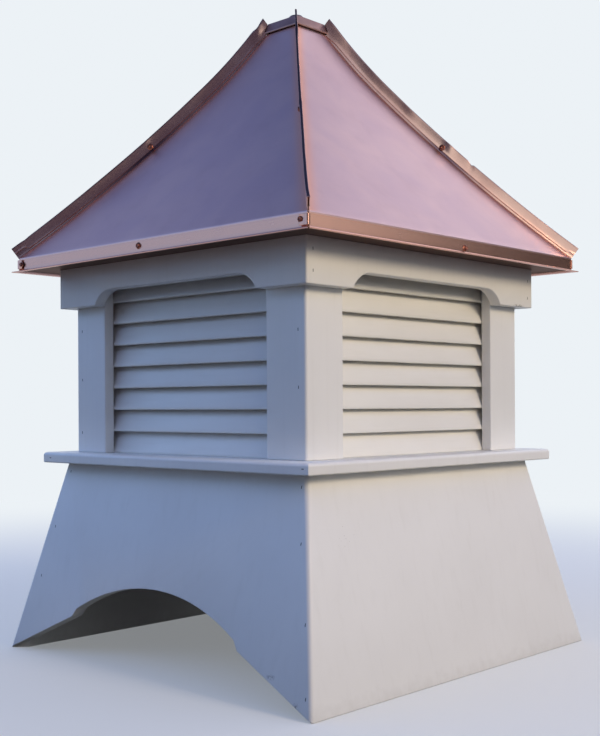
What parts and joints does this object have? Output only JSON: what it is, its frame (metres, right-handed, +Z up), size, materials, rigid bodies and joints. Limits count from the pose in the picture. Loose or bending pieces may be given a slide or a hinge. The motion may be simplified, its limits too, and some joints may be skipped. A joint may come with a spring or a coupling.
{
  "type": "louvred roof cupola",
  "caption": "Square roof cupola with a flared base notched over a ridge, fixed louvres under arched headers, and a bell-curved hipped roof of sheet copper.",
  "frame": {"origin": "middle of the base at its bottom edge", "axes": "+Z up; the roof ridge that the base sits over runs along Y, so the two notched faces look along +Y and -Y; the front is -Y"},
  "size_m": [0.61, 0.6088, 0.9442],
  "materials": {
    "pvc_board": "satin white cellular PVC board",
    "pvc_slat": "satin white PVC slat",
    "copper_sheet": "new sheet copper, mill finish",
    "copper_seam": "folded sheet copper",
    "copper_cap": "new sheet copper, mill finish"
  },
  "bodies": {
    "root": {"base_panel_front": "pvc_board", "base_panel_right": "pvc_board", "base_panel_back": "pvc_board", "base_panel_left": "pvc_board", "sill_front": "pvc_board", "sill_right": "pvc_board", "sill_back": "pvc_board", "sill_left": "pvc_board", "corner_post_front_right": "pvc_board", "corner_post_back_right": "pvc_board", "corner_post_back_left": "pvc_board", "corner_post_front_left": "pvc_board", "header_front": "pvc_board", "header_right": "pvc_board", "header_back": "pvc_board", "header_left": "pvc_board", "louvres_front": "pvc_slat", "louvres_right": "pvc_slat", "louvres_back": "pvc_slat", "louvres_left": "pvc_slat", "rim_front": "pvc_board", "rim_right": "pvc_board", "rim_back": "pvc_board", "rim_left": "pvc_board", "soffit_front": "copper_sheet", "soffit_right": "copper_sheet", "soffit_back": "copper_sheet", "soffit_left": "copper_sheet", "roof_panel_front": "copper_sheet", "roof_panel_right": "copper_sheet", "roof_panel_back": "copper_sheet", "roof_panel_left": "copper_sheet", "hip_seam_front_right": "copper_seam", "hip_seam_back_right": "copper_seam", "hip_seam_back_left": "copper_seam", "hip_seam_front_left": "copper_seam", "roof_cap": "copper_cap", "cap_plug": "copper_cap"}
  },
  "joints": []
}
